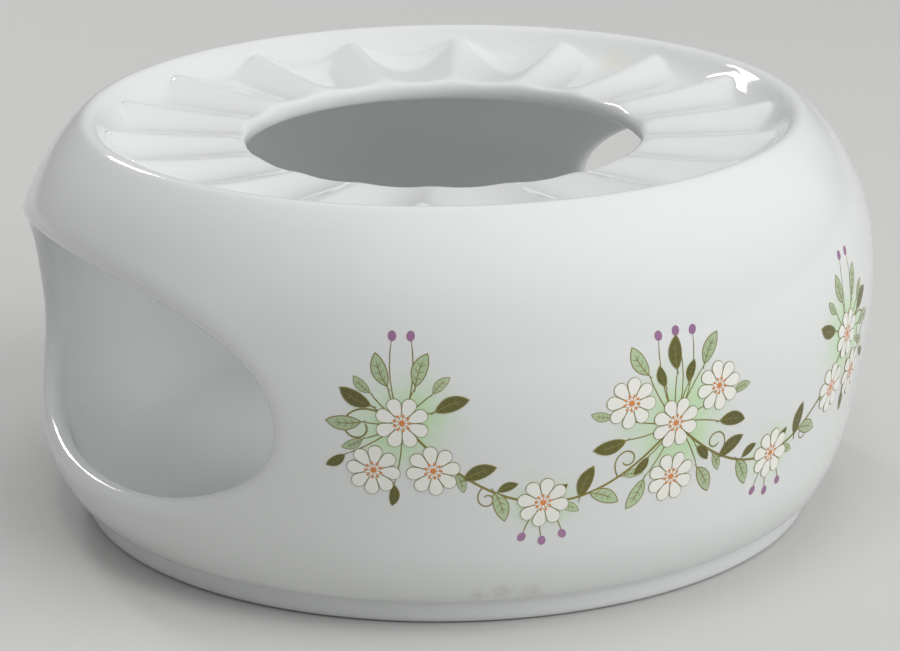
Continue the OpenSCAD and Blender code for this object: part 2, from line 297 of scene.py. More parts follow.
# %% Draw the chain and spin it
COLUMNS = 72
CREST_WAY = (cosine(FLUTE_TURN), sine(FLUTE_TURN))

clear_selection()
bpy.ops.mesh.primitive_plane_add(size=MM, location=(0, 0, rows[0][1] * MM))
body = bpy.context.object
body.name = "body"
bpy.ops.object.transform_apply(location=True, rotation=False, scale=False)
edit(body)
bpy.ops.mesh.merge(type="CENTER")
for before, after in zip(rows, rows[1:]):
    out = (after[0] - before[0]) * MM
    step = (out * CREST_WAY[0], out * CREST_WAY[1], (after[1] - before[1]) * MM)
    bpy.ops.mesh.extrude_region_move(TRANSFORM_OT_translate={"value": step})
bpy.ops.mesh.select_all(action="SELECT")
bpy.ops.mesh.spin(steps=COLUMNS, angle=math.tau, center=(0, 0, 0), axis=(0, 0, 1))
bpy.ops.mesh.select_all(action="SELECT")
bpy.ops.mesh.remove_doubles(threshold=NO_GAP)
leave_edit()
print("spun:", len(body.data.vertices), "points,", len(body.data.polygons), "faces")

# %% [markdown]
# ## Pressing the flutes
# The spin left the well's rows plain. Each of their points now moves to its true place: out to the
# scallop, or in along the flute at its share of the way to the hole. The lip of the hole follows
# the crests at its top, and less of them further in.

# %% Set the well's rows
LIP_TOP_R, LIP_SIDE_Z = HOLE_R + 1.7, 64.5


def well_place(share, azimuth):
    edge = scallop_r(azimuth)
    if share < 0:
        r = edge - share * (roll_top[0] - edge)
        return r, roll_height(r)
    r = edge + share * (LIP_TOP_R - edge)
    return r, flute_height(r, azimuth)


def lip_rise(r, azimuth):
    left = max(0.0, min(1.0, (r - HOLE_R) / (LIP_TOP_R - HOLE_R)))
    return left * (flute_height(LIP_TOP_R, azimuth) - flute_z)


moved = 0
for vertex in body.data.vertices:
    r, azimuth, z = polar(vertex.co)
    kind = min(rows, key=lambda row: abs(row[0] - r) + abs(row[1] - z))[2]
    if isinstance(kind, float):
        r, z = well_place(kind, azimuth)
    elif kind == "lip" and z > LIP_SIDE_Z and r < LIP_TOP_R:
        z += lip_rise(r, azimuth)
    else:
        continue
    vertex.co = placed(r, azimuth, z)
    moved += 1
print(moved, "points set in the well")

# %% [markdown]
# The crests are blunt but firm, so their edges get a crease weight, and so does the edge over the
# foot. A full crease would be a knife edge, which no glaze keeps: it flows off edges and gathers
# in hollows. The scallops get none, because the slope leads into each flute with a soft round.

# %% Crease the crests and the foot
CREST_CREASE, FOOT_CREASE, CREST_END_R, NEAR = 0.75, 0.5, 61.5, 0.1

edit(body)
mesh = bmesh.from_edit_mesh(body.data)


def crease_where(on_line, weight, least=0.0):
    """Creases the edges along a line whose ends differ in radius by at least so much."""
    bpy.ops.mesh.select_all(action="DESELECT")
    count = 0
    for edge in mesh.edges:
        a, b = (polar(vertex.co) for vertex in edge.verts)
        if on_line(*a) and on_line(*b) and abs(a[0] - b[0]) >= least:
            edge.select_set(True)
            count += 1
    bmesh.update_edit_mesh(body.data)
    bpy.ops.transform.edge_crease(value=weight)
    return count


def on_crest(r, azimuth, z):
    on_line = abs(abs(off_flute(azimuth)) - PITCH / 2) < NEAR
    return LIP_TOP_R - NEAR < r < CREST_END_R and z > flute_z and on_line


def on_foot_edge(r, azimuth, z):
    return math.dist((r, z), FOOT_EDGE) < NEAR


print("crests:", crease_where(on_crest, CREST_CREASE, NEAR), "edges")
print("foot:", crease_where(on_foot_edge, FOOT_CREASE), "edges")
leave_edit()

# %% [markdown]
# ## The openings
# On the real piece both openings were cut through the leather-hard clay with one straight stroke,
# and a wet sponge turned the edge into a full round. A boolean cut would leave a sharp edge and
# ragged faces that never bevel well. So a patch of faces is deleted inside and outside, and each
# patch's border is extruded inwards, ring by ring, onto the opening's outline, round the lip, and
# bridged in the middle of the wall. The outline is an oval, fuller than an ellipse and deeper
# below its widest level than above.

# %% The line that the lip follows
OPENING_W, OPENING_UP, OPENING_DOWN, OPENING_Z, OPENING_FULL = 92.0, 17.6, 22.0, 37.8, 2.3
LIP_R = WALL / 2
PATCH_AZ, SIDE_STEPS = 50, 12
COLUMN = 360 / COLUMNS
TOP_STEPS = round(2 * PATCH_AZ / COLUMN)
FINE_STEPS, OFF_CORNER = 300, 0.01


def oval_point(degrees, grow):
    """A point of the oval as [across, up], moved outwards by grow."""
    turn = math.radians(degrees)
    half_w, half_h = OPENING_W / 2, OPENING_DOWN if math.sin(turn) < 0 else OPENING_UP
    across = abs(math.cos(turn)) ** (2 / OPENING_FULL)
    up = abs(math.sin(turn)) ** (2 / OPENING_FULL)
    slope = Vector((across ** (OPENING_FULL - 1) / half_w, up ** (OPENING_FULL - 1) / half_h))
    slope.normalize()
    return (math.copysign(half_w * across + grow * slope.x, math.cos(turn)),
            math.copysign(half_h * up + grow * slope.y, math.sin(turn)))


def even_steps(start, end, steps, grow):
    """Points at even distances along the oval, the last one left out."""
    line = [oval_point(start + (end - start) * (i + OFF_CORNER) / FINE_STEPS, grow)
            for i in range(FINE_STEPS + 1)]
    way = [0.0]
    for here, there in zip(line, line[1:]):
        way.append(way[-1] + math.dist(here, there))
    return [line[min(range(FINE_STEPS + 1), key=lambda i: abs(way[i] - way[-1] * n / steps))]
            for n in range(steps)]


corners = (-45, 45, 135, 225, 315)
sides = zip(corners, corners[1:], (SIDE_STEPS, TOP_STEPS, SIDE_STEPS, TOP_STEPS))
lip_line = [point for side in sides for point in even_steps(*side, LIP_R)]
print("lip line of", len(lip_line), "points, reaching", round(max(lip_line)[0], 1), "mm aside")

# %% [markdown]
# Each ring is worked out from the middle of the wall: out of the wall by one amount and towards
# the opening by another. So each point of the lip line gets its place there and these two ways.

# %% Places and ways along the lip
LOWEST_Z = 9.5


def mid_wall(z):
    """Radius and lean of the wall's middle at a height."""
    heel, belly, shoulder = HEEL_ROUND - LIP_R, BELLY_ROUND - LIP_R, SHOULDER_ROUND - LIP_R
    top = on_arc(belly_c, belly, -SKIRT_LEAN)
    if z < heel_c[1] - heel * sine(SKIRT_LEAN):
        turn = math.asin((z - heel_c[1]) / heel)
        return heel_c[0] + heel * math.cos(turn), turn
    if z < top[1]:
        return top[0] - (top[1] - z) * tangent(SKIRT_LEAN), -math.radians(SKIRT_LEAN)
    if z < belly_c[1] + belly * sine(BELLY_TURN):
        turn = math.asin((z - belly_c[1]) / belly)
        return belly_c[0] + belly * math.cos(turn), turn
    turn = math.asin((z - shoulder_c[1]) / shoulder)
    return shoulder_c[0] + shoulder * math.cos(turn), turn


def lip_frame(across, up):
    r, lean = mid_wall(OPENING_Z + up)
    side = math.asin(across / r)
    out = Vector((math.cos(lean) * math.cos(side), math.cos(lean) * math.sin(side),
                  math.sin(lean)))
    return Vector((math.sqrt(r * r - across * across), across, OPENING_Z + up)), out


frames = [lip_frame(across, up) for across, up in lip_line]
ways = []
for i, (spot, out) in enumerate(frames):
    ahead = (frames[(i + 1) % len(frames)][0] - frames[i - 1][0]).normalized()
    ways.append(out.cross(ahead))
print("the wall's middle is at radius", round(mid_wall(OPENING_Z)[0], 2), "mm beside the lip")

# %% [markdown]
# The rings on the wall are dropped onto its exact section. Those round the lip lie a little
# further out than the round itself, because the subdivision draws them in again.

# %% Rings round the lip
ARC_STEPS = 200
BACK, SWELL = 2.6, 1.07
slant = LIP_R * SWELL * math.sqrt(0.5)


def fine_line(*arcs):
    return [on_arc(centre, radius, start + (end - start) * i / ARC_STEPS)
            for centre, radius, start, end in arcs for i in range(ARC_STEPS + 1)]


outer_line = fine_line((heel_c, HEEL_ROUND, -38, -9), (belly_c, BELLY_ROUND, -9, 18),
                       (shoulder_c, SHOULDER_ROUND, 18, 53))
inner_line = fine_line((floor_c, FLOOR_ROUND, -90, -floor_turn),
                       (heel_c, HEEL_ROUND - WALL, -floor_turn, -9),
                       (belly_c, BELLY_ROUND - WALL, -9, 18),
                       (shoulder_c, SHOULDER_ROUND - WALL, 18, 47))


def drop_onto(line, point):
    """The nearest place on a section line, at the point's own azimuth."""
    r, z, best, found = math.hypot(point.x, point.y), point.z, math.inf, None
    for (r0, z0), (r1, z1) in zip(line, line[1:]):
        dr, dz = r1 - r0, z1 - z0
        size = dr * dr + dz * dz
        t = 0 if size == 0 else max(0.0, min(1.0, ((r - r0) * dr + (z - z0) * dz) / size))
        away = (r - r0 - t * dr) ** 2 + (z - z0 - t * dz) ** 2
        if away < best:
            best, found = away, (r0 + t * dr, z0 + t * dz)
    return Vector((point.x * found[0] / r, point.y * found[0] / r, found[1]))


def lip_ring(outwards, inwards, line=None):
    ring = [spot + outwards * out + inwards * into for (spot, out), into in zip(frames, ways)]
    return [drop_onto(line, point) for point in ring] if line else ring


print("lip radius", LIP_R, "mm, first ring", BACK, "mm before it")

# %% [markdown]
# A patch's border is a known walk through rows and columns: up the right side, along the top, down
# the left side and back along the bottom. The lip line was made in the same order, so each point
# of the border has its partner on the lip by its number, and the faces keep even rows.

# %% The patches' borders
outside_rows = [row for row in rows if row[2] == "outside"]
inside_rows = [row for row in reversed(rows) if row[2] == "inside"][2:]


def border(side_rows):
    def spot(row, azimuth):
        return Vector((row[0] * cosine(azimuth), row[0] * sine(azimuth), row[1]))
    low, high = FLUTE_TURN - PATCH_AZ, FLUTE_TURN + PATCH_AZ
    right = [spot(side_rows[i], high) for i in range(SIDE_STEPS)]
    top = [spot(side_rows[SIDE_STEPS], high - COLUMN * i) for i in range(TOP_STEPS)]
    left = [spot(side_rows[SIDE_STEPS - i], low) for i in range(SIDE_STEPS)]
    bottom = [spot(side_rows[0], low + COLUMN * i) for i in range(TOP_STEPS)]
    return right + top + left + bottom


print(len(outside_rows), "rows outside and", len(inside_rows), "inside, for", SIDE_STEPS, "steps")

# %% [markdown]
# The faces to delete are found by their middles: near enough to an opening, between the first and
# the last row of their side of the wall, and further out than the groove under the rim.

# %% Delete the patches
GROOVE_R, RIM_Z, SLACK = 62.5, 69, 0.4
patch_z = {"outside": (outside_rows[0][1], outside_rows[-1][1]),
           "inside": (inside_rows[0][1], inside_rows[-1][1])}


def in_patch(face):
    r, azimuth, z = polar(face.calc_center_median())
    off_opening = abs((azimuth + 90) % 180 - 90 - FLUTE_TURN)
    if off_opening > PATCH_AZ or r < GROOVE_R:
        return False
    beyond_middle = r > mid_wall(max(z, LOWEST_Z))[0] - SLACK
    low, high = patch_z["outside" if beyond_middle and z < RIM_Z else "inside"]
    return low < z < high


edit(body)
mesh = bmesh.from_edit_mesh(body.data)
bpy.ops.mesh.select_mode(type="FACE")
bpy.ops.mesh.select_all(action="DESELECT")
for face in mesh.faces:
    face.select_set(in_patch(face))
found = sum(face.select for face in mesh.faces)
print("patch faces:", found, "of", 4 * SIDE_STEPS * TOP_STEPS)
bmesh.update_edit_mesh(body.data)
bpy.ops.mesh.delete(type="FACE")
bpy.ops.mesh.select_mode(type="EDGE")

# %% [markdown]
# One helper selects the open edges that lie on a ring. The other extrudes what is selected and
# sets each new point by its number on the ring.

# %% Grow the rings and bridge them
ON_RING = 2e-5


def turned(ring, half_turn):
    return [Vector((-point.x, -point.y, point.z)) if half_turn else point for point in ring]


def select_ring(ring):
    bpy.ops.mesh.select_all(action="DESELECT")
    mesh = bmesh.from_edit_mesh(body.data)
    places = [point * MM for point in ring]
    found = 0
    for edge in [edge for edge in mesh.edges if edge.is_boundary]:
        if all(min((vertex.co - place).length for place in places) < ON_RING
               for vertex in edge.verts):
            edge.select_set(True)
            found += 1
    bmesh.update_edit_mesh(body.data)
    return found


def grow(ring, target):
    bpy.ops.mesh.extrude_region_move()
    mesh = bmesh.from_edit_mesh(body.data)
    for vertex in [vertex for vertex in mesh.verts if vertex.select]:
        number = min(range(len(ring)), key=lambda i: (vertex.co - ring[i] * MM).length)
        vertex.co = target[number] * MM
    bmesh.update_edit_mesh(body.data)


for half_turn in (False, True):
    last = []
    for side_rows, line, sign in ((outside_rows, outer_line, 1), (inside_rows, inner_line, -1)):
        ring = border(side_rows)
        firm = lip_ring(sign * LIP_R, -BACK, line)
        halfway = [drop_onto(line, (a + b) / 2) for a, b in zip(ring, firm)]
        steps = [halfway, firm, lip_ring(sign * LIP_R, 0), lip_ring(sign * slant, slant)]
        if sign > 0:
            steps.append(lip_ring(0, LIP_R * SWELL))
        ring = turned(ring, half_turn)
        found = select_ring(ring)
        for target in steps:
            target = turned(target, half_turn)
            grow(ring, target)
            ring = target
        last.append(ring)
        print("border of", found, "edges grown by", len(steps), "rings")
    select_ring(last[0] + last[1])
    bpy.ops.mesh.bridge_edge_loops()

# %% [markdown]
# ## Smoothing
# The faces are turned outwards, and a look at the mesh shows that it is closed. Two levels of
# subdivision turn the cage into the smooth skin of a glazed piece. The modifier is applied, so
# that the mesh itself is the smooth skin. More levels would add triangles that nobody sees.

# %% Close, subdivide and shade
bpy.ops.mesh.select_all(action="SELECT")
bpy.ops.mesh.normals_make_consistent(inside=False)
bpy.ops.mesh.select_mode(type="VERT")
leave_edit()
look = bmesh.new()
look.from_mesh(body.data)
print("open edges left:", sum(edge.is_boundary for edge in look.edges))
print("volume, ml:", round(look.calc_volume() * 1e6, 1))
look.free()

work_on(body)
smooth = body.modifiers.new("smooth", "SUBSURF")
smooth.levels = smooth.render_levels = 2
bpy.ops.object.modifier_apply(modifier=smooth.name)
bpy.ops.object.shade_smooth()
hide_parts("porcelain_body")
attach(body, "root")
print("body:", triangles(body), "triangles")

# %% [markdown]
# ## The print, drawn flat
# The real print was drawn on a sheet, laid on the glazed wall and fired. It is made the same way
# here: each motif is modelled once, flat, with x along the wall and y up, copied to its places,
# and the sheet is wrapped round the wall at the end. A picture texture would be quicker, but lines
# made as faces stay sharp at any distance.

# %% Tools for flat motifs
STROKE_END = 0.45


def at(along_x, up, turn=0.0, size=1.0):
    """A motif's place on the sheet."""
    return (along_x, up, turn, size)


def disc(points, radius, fill="TRIFAN"):
    clear_selection()
    bpy.ops.mesh.primitive_circle_add(vertices=points, radius=radius * MM, fill_type=fill,
                                      location=(0, 0, 0))
    return bpy.context.object


def joined(pieces, name):
    work_on(*pieces)
    if len(pieces) > 1:
        bpy.ops.object.join()
    pieces[0].name = name
    return pieces[0]


def copies(motif, places, name):
    """Copies of a flat motif, each with its own mesh, joined."""
    made = []
    for along_x, up, turn, size in places:
        piece = motif.copy()
        piece.data = motif.data.copy()
        bpy.context.collection.objects.link(piece)
        piece.location = (along_x * MM, up * MM, 0)
        piece.rotation_euler = (0, 0, math.radians(turn))
        piece.scale = (size, size, 1)
        made.append(piece)
    work_on(*made)
    bpy.ops.object.transform_apply(location=True, rotation=True, scale=True)
    return joined(made, name)


def cut_off_border(shape, width, name):
    """Insets a flat shape and parts the border from it. The shape keeps the middle."""
    edit(shape)
    bpy.ops.mesh.select_mode(type="FACE")
    bpy.ops.mesh.inset(thickness=width * MM, use_boundary=True)
    bpy.ops.mesh.select_all(action="INVERT")
    bpy.ops.mesh.separate(type="SELECTED")
    leave_edit()
    border_piece = next(piece for piece in bpy.context.selected_objects if piece is not shape)
    border_piece.name = name
    return border_piece


def stroke(path, width):
    """A drawn line: a strip of faces along a path, a little thinner at its ends."""
    steps = len(path) - 1
    clear_selection()
    bpy.ops.mesh.primitive_grid_add(x_subdivisions=steps, y_subdivisions=1, size=2)
    strip = bpy.context.object
    for vertex in strip.data.vertices:
        step = round((vertex.co.x + 1) / 2 * steps)
        before, after = path[max(step - 1, 0)], path[min(step + 1, steps)]
        ahead = Vector((after[0] - before[0], after[1] - before[1])).normalized()
        half = width / 2 * (STROKE_END if step in (0, steps) else 1.0) * vertex.co.y
        x, y = path[step]
        vertex.co = ((x - half * ahead.y) * MM, (y + half * ahead.x) * MM, 0)
    return strip


# %% [markdown]
# ## A daisy
# A daisy is one petal, turned eight times round a heart. The petal starts as a disc whose inner
# half is drawn out towards the heart, so that eight of them meet side to side. Its outline is its
# own border, inset and parted, so line and petal fit without a gap.

# %% Petals and their outlines
DAISY_D, PETALS, OUTLINE_W = 9.0, 8, 0.17
PETAL_R, PETAL_OFF, PETAL_DRAWN, PETAL_NARROWED, MIDDLE_R = 1.2, 3.22, 2.3, 0.35, 1.6

petal = disc(20, PETAL_R, "NGON")
for vertex in petal.data.vertices:
    inwards = max(0.0, -vertex.co.x / (PETAL_R * MM))
    drawn = vertex.co.x if inwards == 0 else -PETAL_DRAWN * inwards * MM
    vertex.co.x = PETAL_OFF * MM + drawn
    vertex.co.y *= 1 - PETAL_NARROWED * inwards
petal_line = cut_off_border(petal, OUTLINE_W / 2, "petal_line")
edit(petal)
bpy.ops.mesh.poke()
leave_edit()
petal_turns = [at(0, 0, 360 / PETALS * (i + 0.5)) for i in range(PETALS)]
daisy_middle = disc(24, MIDDLE_R)
daisy_petals = copies(petal, petal_turns, "daisy_petals")
daisy_lines = copies(petal_line, petal_turns, "daisy_lines")
print("daisy:", triangles(daisy_petals), "and", triangles(daisy_lines), "triangles")

# %% [markdown]
# The heart is a dot with a ring of small stamens on fine stalks, all in one colour. It could be a
# plain disc, but an open ring looks drawn with a fine brush.

# %% Heart and stamens
STAMENS, STAMEN_R, STAMEN_OFF, HEART_SIZE = 9, 0.24, 1.3, 2.1

stamen = disc(10, STAMEN_R)
stalk = stroke([(0.45, 0), (0.85, 0), (1.2, 0)], 0.13)
stamen_turns = [360 / STAMENS * i for i in range(STAMENS)]
stamens = copies(stamen, [at(*on_arc((0, 0), STAMEN_OFF, turn), turn) for turn in stamen_turns],
                 "stamens")
heart_dot = copies(stamen, [at(0, 0, 0, HEART_SIZE)], "heart_dot")
stalks = copies(stalk, [at(0, 0, turn) for turn in stamen_turns], "stalks")
daisy_heart = joined([heart_dot, stamens, stalks], "daisy_heart")
print("heart:", triangles(daisy_heart), "triangles")

# %% [markdown]
# ## A leaf and a berry
# A leaf is a strip of faces whose width follows a lens, bowed a little, because a straight leaf
# looks stamped. It gives three motifs: the middle, the outline, and the veins drawn over it.

# %% Leaves and berries
LEAF_L, LEAF_W, LEAF_BOW = 6.0, 2.6, 0.35
MIDRIB_W, VEIN_W, VEIN_STARTS = 0.16, 0.11, (-0.62, -0.24, 0.14)
BERRY_R, BERRY_FLAT = 0.85, 0.82


def leaf_spot(share, side):
    """A point of the leaf: share and side run from -1 to 1 along and across it."""
    lens = (LEAF_L ** 2 + LEAF_W ** 2) / (4 * LEAF_W)
    half = math.sqrt(lens ** 2 - (share * LEAF_L / 2) ** 2) - lens + LEAF_W / 2
    return share * LEAF_L / 2, side * max(half, 0.0) + LEAF_BOW * (1 - share ** 2)


clear_selection()
bpy.ops.mesh.primitive_grid_add(x_subdivisions=8, y_subdivisions=2, size=2)
leaf = bpy.context.object
for vertex in leaf.data.vertices:
    x, y = leaf_spot(vertex.co.x, vertex.co.y)
    vertex.co = (x * MM, y * MM, 0)
edit(leaf)
bpy.ops.mesh.remove_doubles(threshold=NO_GAP)
leave_edit()
leaf_line = cut_off_border(leaf, OUTLINE_W, "leaf_line")
midrib = stroke([leaf_spot(-1.25 + 0.25 * i, 0) for i in range(8)], MIDRIB_W)
side_veins = [stroke([leaf_spot(share + ahead, side * out)
                      for ahead, out in ((0, 0), (0.14, 0.3), (0.22, 0.62))], VEIN_W)
              for share in VEIN_STARTS for side in (-1, 1)]
veins = joined([midrib, *side_veins], "veins")

berry = disc(16, BERRY_R)
bpy.ops.transform.resize(value=(1.0, BERRY_FLAT, 1))
bpy.ops.object.transform_apply(location=False, rotation=False, scale=True)
print("leaf:", triangles(leaf), triangles(leaf_line), triangles(veins), "triangles")

# %% [markdown]
# ## The festoon
# The layout is the solid model's: three posies, the middle one lower, two swags between them with
# a daisy at each lowest point, leaves beside the swags and berries at the ends. A ring is a posy,
# its distance from it in daisies, the directions of its motifs, and their size.

# %% Daisies, leaves and berries
POSY_GAP, POSY_Z, POSY_RISE, SWAG_DROP = 46.0, 35.0, 4.0, 13.0
YOUNG, SMALL = 0.66, 0.62
left, middle, right = posies = [(-POSY_GAP, POSY_Z + POSY_RISE), (0, POSY_Z),
                                (POSY_GAP, POSY_Z + POSY_RISE)]


def swag(i, t):
    (x0, z0), (x1, z1) = posies[i], posies[i + 1]
    return (x0 + t * (x1 - x0), z0 + t * (z1 - z0) - SWAG_DROP * 4 * t * (1 - t))


def around(centre, distance, directions, size=1.0):
    return [at(*on_arc(centre, distance * DAISY_D, a), a, size) for a in directions]


def beside(off, shares, lean, size=1.0):
    """Places above or below both swags, turned with them."""
    places = []
    for i in (0, 1):
        for t in shares:
            (x, z), ahead = swag(i, t), swag(i, t + 0.05)
            way = math.degrees(math.atan2(ahead[1] - z, ahead[0] - x))
            places.append(at(x, z + off, way + lean, size))
    return places


daisies = [at(*posy) for posy in posies] + around(middle, 1.08, (30, 150, 270))
daisies += around(left, -1.08, (60, 120)) + around(right, -1.08, (60, 120))
daisies += [at(*swag(i, 0.5), 12) for i in (0, 1)]
dark_rings = [(middle, 1.35, (90, 190, 350), 1), (left, 0.95, (20, 150), 1),
              (right, 0.95, (30, 160), 1), (middle, 1.0, (72, 108, 228, 312), YOUNG),
              (left, 1.45, (212, 262), YOUNG), (right, 1.45, (278, 328), YOUNG)]
pale_rings = [(middle, 1.5, (60, 120, 240, 300), 1), (left, 1.05, (70, 110, 180), 1),
              (right, 1.05, (0, 70, 110), 1), (middle, 1.55, (14, 166), YOUNG),
              (left, 1.0, (45, 135, 205), YOUNG), (right, 1.0, (45, 135, 335), YOUNG)]
berry_rings = [(middle, 1.75, (78, 90, 102)), (left, 1.6, (84, 96)), (right, 1.6, (84, 96)),
               (swag(0, 0.5), 0.78, (240, 270, 300)), (swag(1, 0.5), 0.78, (240, 270, 300))]
dark_places, pale_places, berry_places = (
    [place for ring in rings for place in around(*ring)]
    for rings in (dark_rings, pale_rings, berry_rings))
dark_places += beside(2.2, (0.27, 0.66), 50) + beside(1.7, (0.37, 0.56), 38, SMALL)
pale_places += beside(-2.2, (0.34, 0.73), -50) + beside(-1.6, (0.2, 0.6, 0.84), -36, SMALL)
print(len(daisies), "daisies,", len(dark_places + pale_places), "leaves,",
      len(berry_places), "berries")

# %% [markdown]
# Lines hold the festoon together: the two swags, curled tendrils, and a fine, slightly bowed stem
# from its posy to each leaf and berry. A tendril is a walk whose heading turns a little more with
# each step.

# %% Swags, tendrils and stems
SWAG_STEPS, SWAG_W, STEM_W, STEM_STEPS = 44, 0.42, 0.2, 6
BERRY_BOW, LEAF_STEM_BOW = 0.07, 0.04


def curl(start, way, steps, stride, bend, gain):
    path, (x, z) = [start], start
    for step in range(steps):
        x, z = x + stride * cosine(way), z + stride * sine(way)
        way += bend + gain * step
        path.append((x, z))
    return path


def bowed(start, end, bow):
    """A path that bows out sideways by a share of its length."""
    reach, rise = end[0] - start[0], end[1] - start[1]
    path = []
    for step in range(STEM_STEPS + 1):
        t = step / STEM_STEPS
        out = 4 * step / STEM_STEPS * (1 - t)
        path.append((start[0] + t * reach + out * (-rise * bow),
                     start[1] + t * rise + out * (reach * bow)))
    return path


swag_lines = [stroke([swag(i, t / SWAG_STEPS) for t in range(SWAG_STEPS + 1)], SWAG_W)
              for i in (0, 1)]
tendrils = []
for i, side in enumerate((-1, 1)):
    outer = (side * (POSY_GAP + 3), POSY_Z + POSY_RISE + 1.5)
    for start, lean, steps, stride, bend, gain, width in (
            (outer, 24, 24, 0.62, -4, -0.9, 0.3),
            (swag(i, 0.5 - 0.28 * side), 62, 22, 0.5, 5, 1.2, 0.26),
            (swag(i, 0.5 + 0.22 * side), -50, 20, 0.42, -7, -1.3, 0.24)):
        way = 90 - 90 * side + side * lean
        tendrils.append(stroke(curl(start, way, steps, stride, side * bend, side * gain), width))
berry_ends = [(centre, on_arc(centre, distance * DAISY_D, a),
               -BERRY_BOW if sine(2 * a) > 0 else BERRY_BOW)
              for centre, distance, directions in berry_rings for a in directions]
leaf_ends = [(centre, on_arc(centre, distance * DAISY_D - LEAF_L / 2 * size, a), LEAF_STEM_BOW)
             for centre, distance, directions, size in dark_rings + pale_rings
             for a in directions]
stems = [stroke(bowed(*ends), STEM_W) for ends in berry_ends + leaf_ends]
print(len(tendrils), "tendrils,", len(stems), "stems")

# %% [markdown]
# ## Laying the print on the wall
# A sheet is rolled onto the wall by formula, a Shrinkwrap modifier brings it to its exact
# distance, and Solidify gives it a body that reaches a little into the wall, so no gap shows at
# its rim. Colours that overlap on the sheet lie at slightly different distances, a few hundredths
# of a millimetre, as the fired colours do.

# %% Tools for the wrapping
SUNK, CLEAR, SOFT_ANGLE = 0.06, 0.5, 30
wall_line = sorted((z, r) for r, z in outer_line)
wall_heights = [z for z, r in wall_line]


def wall_radius(z):
    after = min(max(bisect.bisect(wall_heights, z), 1), len(wall_line) - 1)
    (z0, r0), (z1, r1) = wall_line[after - 1], wall_line[after]
    return r0 + (r1 - r0) * (z - z0) / max(z1 - z0, 1e-9)


def lay_on_wall(sheet, proud):
    for vertex in sheet.data.vertices:
        turn = vertex.co.x / (BELLY_R * MM) - math.pi / 2
        r = (wall_radius(vertex.co.y / MM) + CLEAR) * MM
        vertex.co = (r * math.cos(turn), r * math.sin(turn), vertex.co.y)
    work_on(sheet)
    wrap = sheet.modifiers.new("wrap", "SHRINKWRAP")
    wrap.target, wrap.offset = body, proud * MM
    wrap.wrap_method, wrap.wrap_mode = "NEAREST_SURFACEPOINT", "ABOVE_SURFACE"
    bpy.ops.object.modifier_apply(modifier=wrap.name)
    thick = sheet.modifiers.new("thick", "SOLIDIFY")
    thick.thickness, thick.offset = (SUNK + proud) * MM, -1
    bpy.ops.object.modifier_apply(modifier=thick.name)
    return sheet


def finish_print(layers, name, node):
    """Lays each layer of a colour, given as [motif, places, distance], and joins them."""
    piece = joined([lay_on_wall(copies(motif, places, "sheet") if places else motif, proud)
                    for motif, places, proud in layers], name)
    bpy.ops.object.shade_smooth_by_angle(angle=math.radians(SOFT_ANGLE))
    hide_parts(node)
    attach(piece, "root")
    print(name, triangles(piece), "triangles")
    return piece


# %% [markdown]
# Each colour becomes one piece, as it is one firing on the real wall. The swags, tendrils and stems
# lie lowest, then the pale leaves, the dark ones, the daisies and the hearts, each with its lines.

# %% Wrap the sheets
PALE, PALE_VEINS, DARK, DARK_VEINS = 0.04, 0.055, 0.07, 0.085
GARLAND, DAISY_MIDDLE, DAISY, HEART = 0.025, 0.088, 0.10, 0.115

fired_petals = finish_print(
    [(daisy_middle, daisies, DAISY_MIDDLE), (daisy_petals, daisies, DAISY)],
    "fired_petals", "print_petals")
fired_hearts = finish_print(
    [(daisy_heart, daisies, HEART)], "fired_hearts", "print_hearts")
fired_dark = finish_print(
    [(leaf, dark_places, DARK)], "fired_dark_leaves", "print_dark_leaves")
fired_pale = finish_print(
    [(leaf, pale_places, PALE)], "fired_pale_leaves", "print_pale_leaves")
fired_berries = finish_print(
    [(berry, berry_places, PALE)], "fired_berries", "print_berries")
fired_lines = finish_print(
    [(joined(swag_lines + tendrils + stems, "garland"), None, GARLAND),
     (leaf_line, pale_places, PALE), (veins, pale_places, PALE_VEINS),
     (leaf_line, dark_places, DARK), (veins, dark_places, DARK_VEINS),
     (daisy_lines, daisies, DAISY)],
    "fired_lines", "print_lines")
for motif in (petal, petal_line, daisy_middle, daisy_petals, daisy_lines, stamen, stalk,
              daisy_heart, leaf, leaf_line, veins, berry):
    bpy.data.objects.remove(motif)

# %% [markdown]
# ## Porcelain and glaze
# Porcelain is a cool white and the glaze over it is clear and glossy, a little thicker in the
# hollows, and never quite flat: broad, very low waves make its reflections swim. The waves are a
# noise with a bump, far too shallow for geometry. They are a node group, because the print lies
# under the same glaze and wears the same waves.

# %% The glaze group


def new_group(name, inputs, outputs):
    group = bpy.data.node_groups.new(name, "ShaderNodeTree")
    for label, kind, value in inputs:
        socket = group.interface.new_socket(label, in_out="INPUT", socket_type="NodeSocket" + kind)
        socket.default_value = value
    for label, kind in outputs:
        group.interface.new_socket(label, in_out="OUTPUT", socket_type="NodeSocket" + kind)
    return group, group.nodes.new("NodeGroupInput"), group.nodes.new("NodeGroupOutput")


def add_node(tree, kind, settings=None, **values):
    """A new node: first its settings, then the values of its named inputs."""
    node = tree.nodes.new("ShaderNode" + kind)
    for name, value in (settings or {}).items():
        setattr(node, name, value)
    for name, value in values.items():
        node.inputs[name.replace("_", " ")].default_value = value
    return node


def wire(tree, links):
    for giver, output, taker, place in links:
        tree.links.new(giver.outputs[output], taker.inputs[place])


